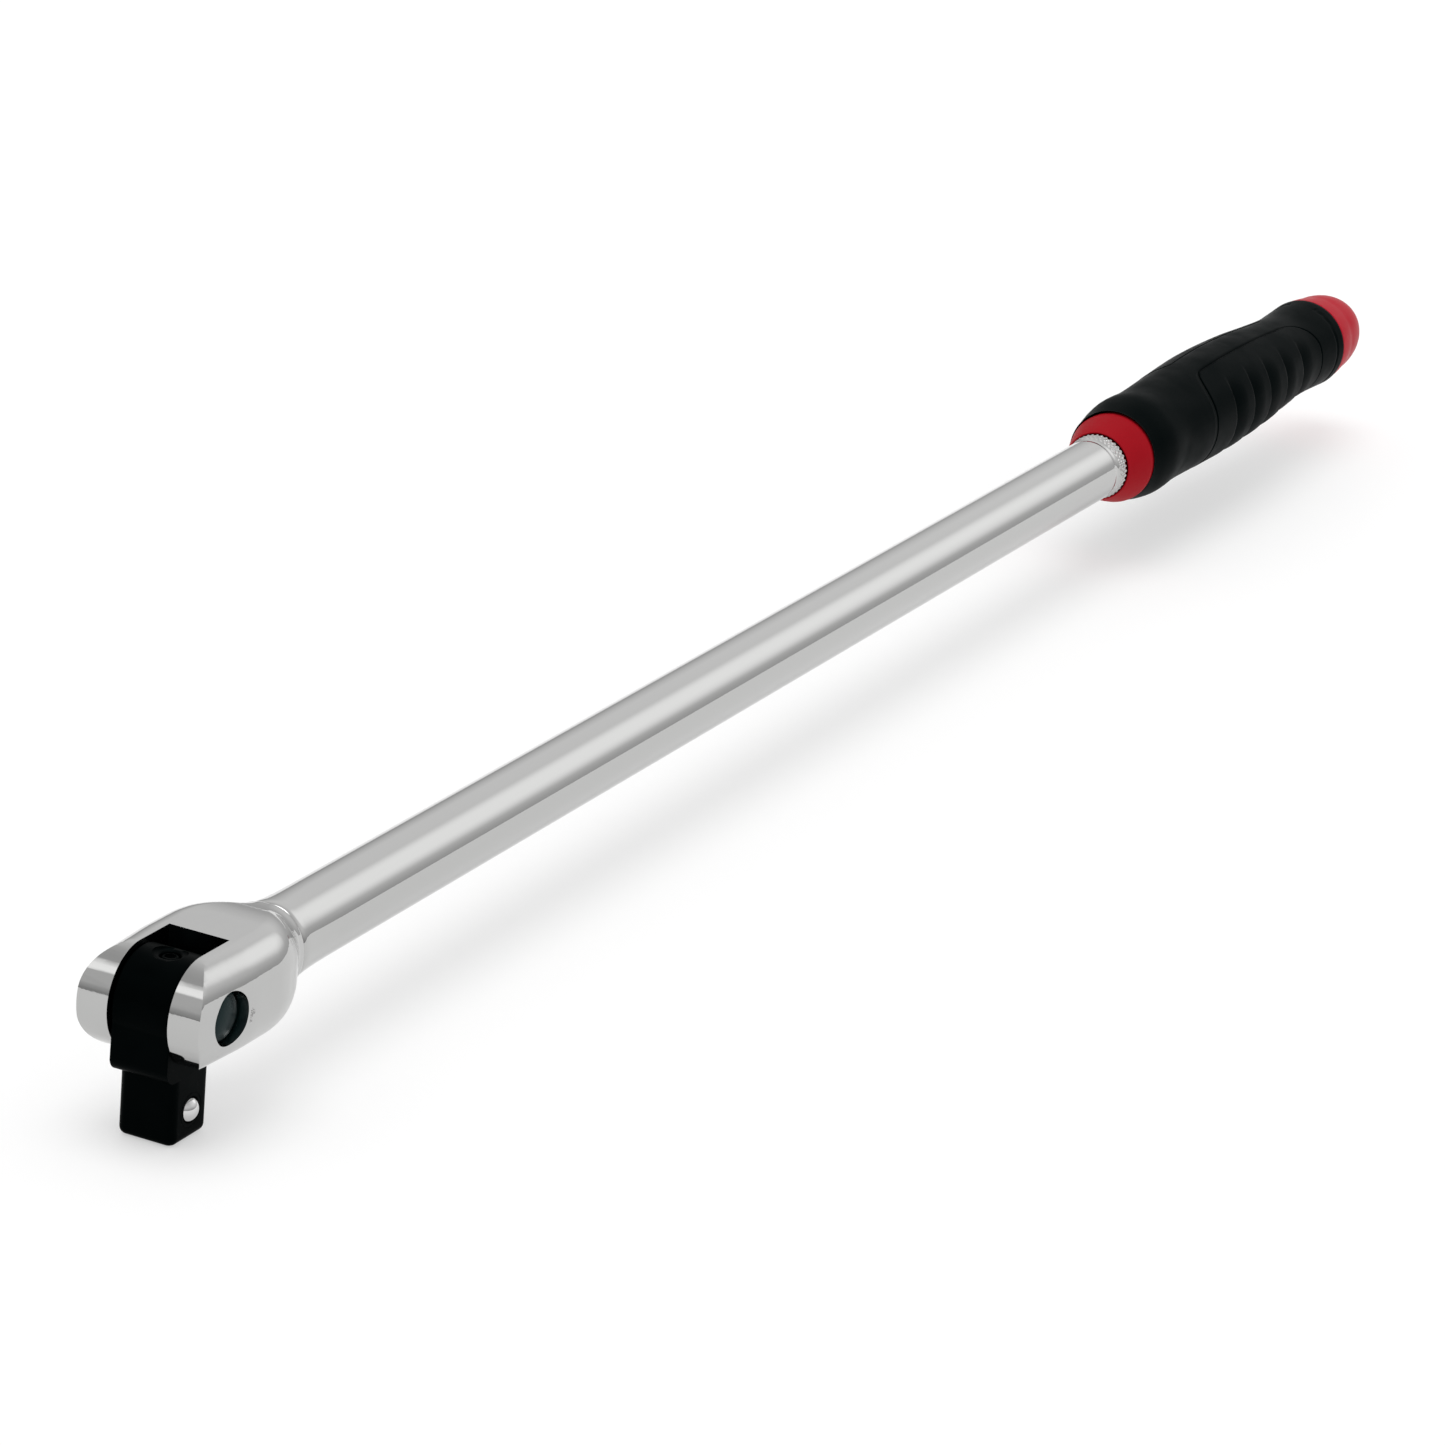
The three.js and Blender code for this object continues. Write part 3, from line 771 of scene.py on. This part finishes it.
def panel_point(row, column):
    angle = panel_angles[column]
    front, back = window_rows(angle, -panel["inset"])
    x = front + (back - front) * row / panel_rows
    return grip_point(x, angle, sleeve_radius(x) + panel["proud"] - finger_relief(x, angle))


panel_bm = bmesh.new()
bmesh.ops.create_grid(panel_bm, x_segments=panel_rows, y_segments=len(panel_angles) - 1, size=1)
for vert in panel_bm.verts:
    row = round((vert.co.x + 1) / 2 * panel_rows)
    column = round((vert.co.y + 1) / 2 * (len(panel_angles) - 1))
    vert.co = panel_point(row, column)
bmesh.ops.recalc_face_normals(panel_bm, faces=panel_bm.faces)
# an open sheet can come out turned inwards
along_bar = Vector((1, 0, 0))
outward = 0
for face in panel_bm.faces:
    reach = face.calc_center_median() - pivot * mm
    reach -= along_bar * reach.x
    outward += 1 if face.normal.dot(reach) > 0 else -1
if outward < 0:
    bmesh.ops.reverse_faces(panel_bm, faces=panel_bm.faces)
skirt = bmesh.ops.extrude_edge_only(panel_bm, edges=[edge for edge in panel_bm.edges if edge.is_boundary])
for vert in [item for item in skirt["geom"] if isinstance(item, bmesh.types.BMVert)]:
    local = vert.co / mm - pivot
    centre = Vector((local.x, 0, lift(local.x)))
    reach = local - centre
    vert.co = (pivot + centre + reach * (1 - panel["thickness"] / reach.length)) * mm
rim = [edge for edge in panel_bm.edges if len(edge.link_faces) == 2 and edge.calc_face_angle(0) > 1]
bmesh.ops.bevel(
    panel_bm, geom=rim, offset=0.22 * mm, offset_type="OFFSET", affect="EDGES",
    segments=3, profile=0.5, material=-1,
)
finger_panel = new_piece("finger_saddle", panel_bm, black_rubber)
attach(finger_panel, "handle")
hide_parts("finger_panel")


# ---- end cap ----
# A red polypropylene dome pressed over the back end of the core, plain where a badge would be.
cap_outline = [(591.0, 8.8), (590.6, 8.8), (590.5, 11.8), (590.65, 12.05), (591.1, 12.12)]
cap_outline += [(591.1 + 8.4 * step / 8, 12.12 - 0.9 * (step / 8) ** 1.6) for step in range(1, 9)]
for step in range(1, 25):
    angle = math.radians(89.2) * step / 24
    cap_outline.append((599.5 + 19.3 * math.sin(angle), 11.22 * math.cos(angle)))
cap_bore = [(602, 8.8), (602, 0.2)]


def cap_point(row, column):
    angle = 360 * column / 128
    if row < len(cap_bore):
        x, radius = cap_bore[::-1][row]
    else:
        x, radius = cap_outline[row - len(cap_bore)]
    return grip_point(x, angle, radius)


cap_plastic = add_grain(
    new_material("red_cap_plastic", (0.42, 0.007, 0.019), 0.38, 0.0, IOR=1.4, Specular_IOR_Level=0.05),
    bump=0.006, tones=((0.4, 0.006, 0.017), (0.44, 0.008, 0.021)),
    Scale=1600, Smudge_scale=110, Rough_low=0.3, Rough_high=0.42,
)
end_cap = new_piece(
    "red_cap", skin(len(cap_outline) + len(cap_bore) - 1, 128, cap_point), cap_plastic,
)
even_shading(end_cap)
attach(end_cap, "handle")
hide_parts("end_cap")
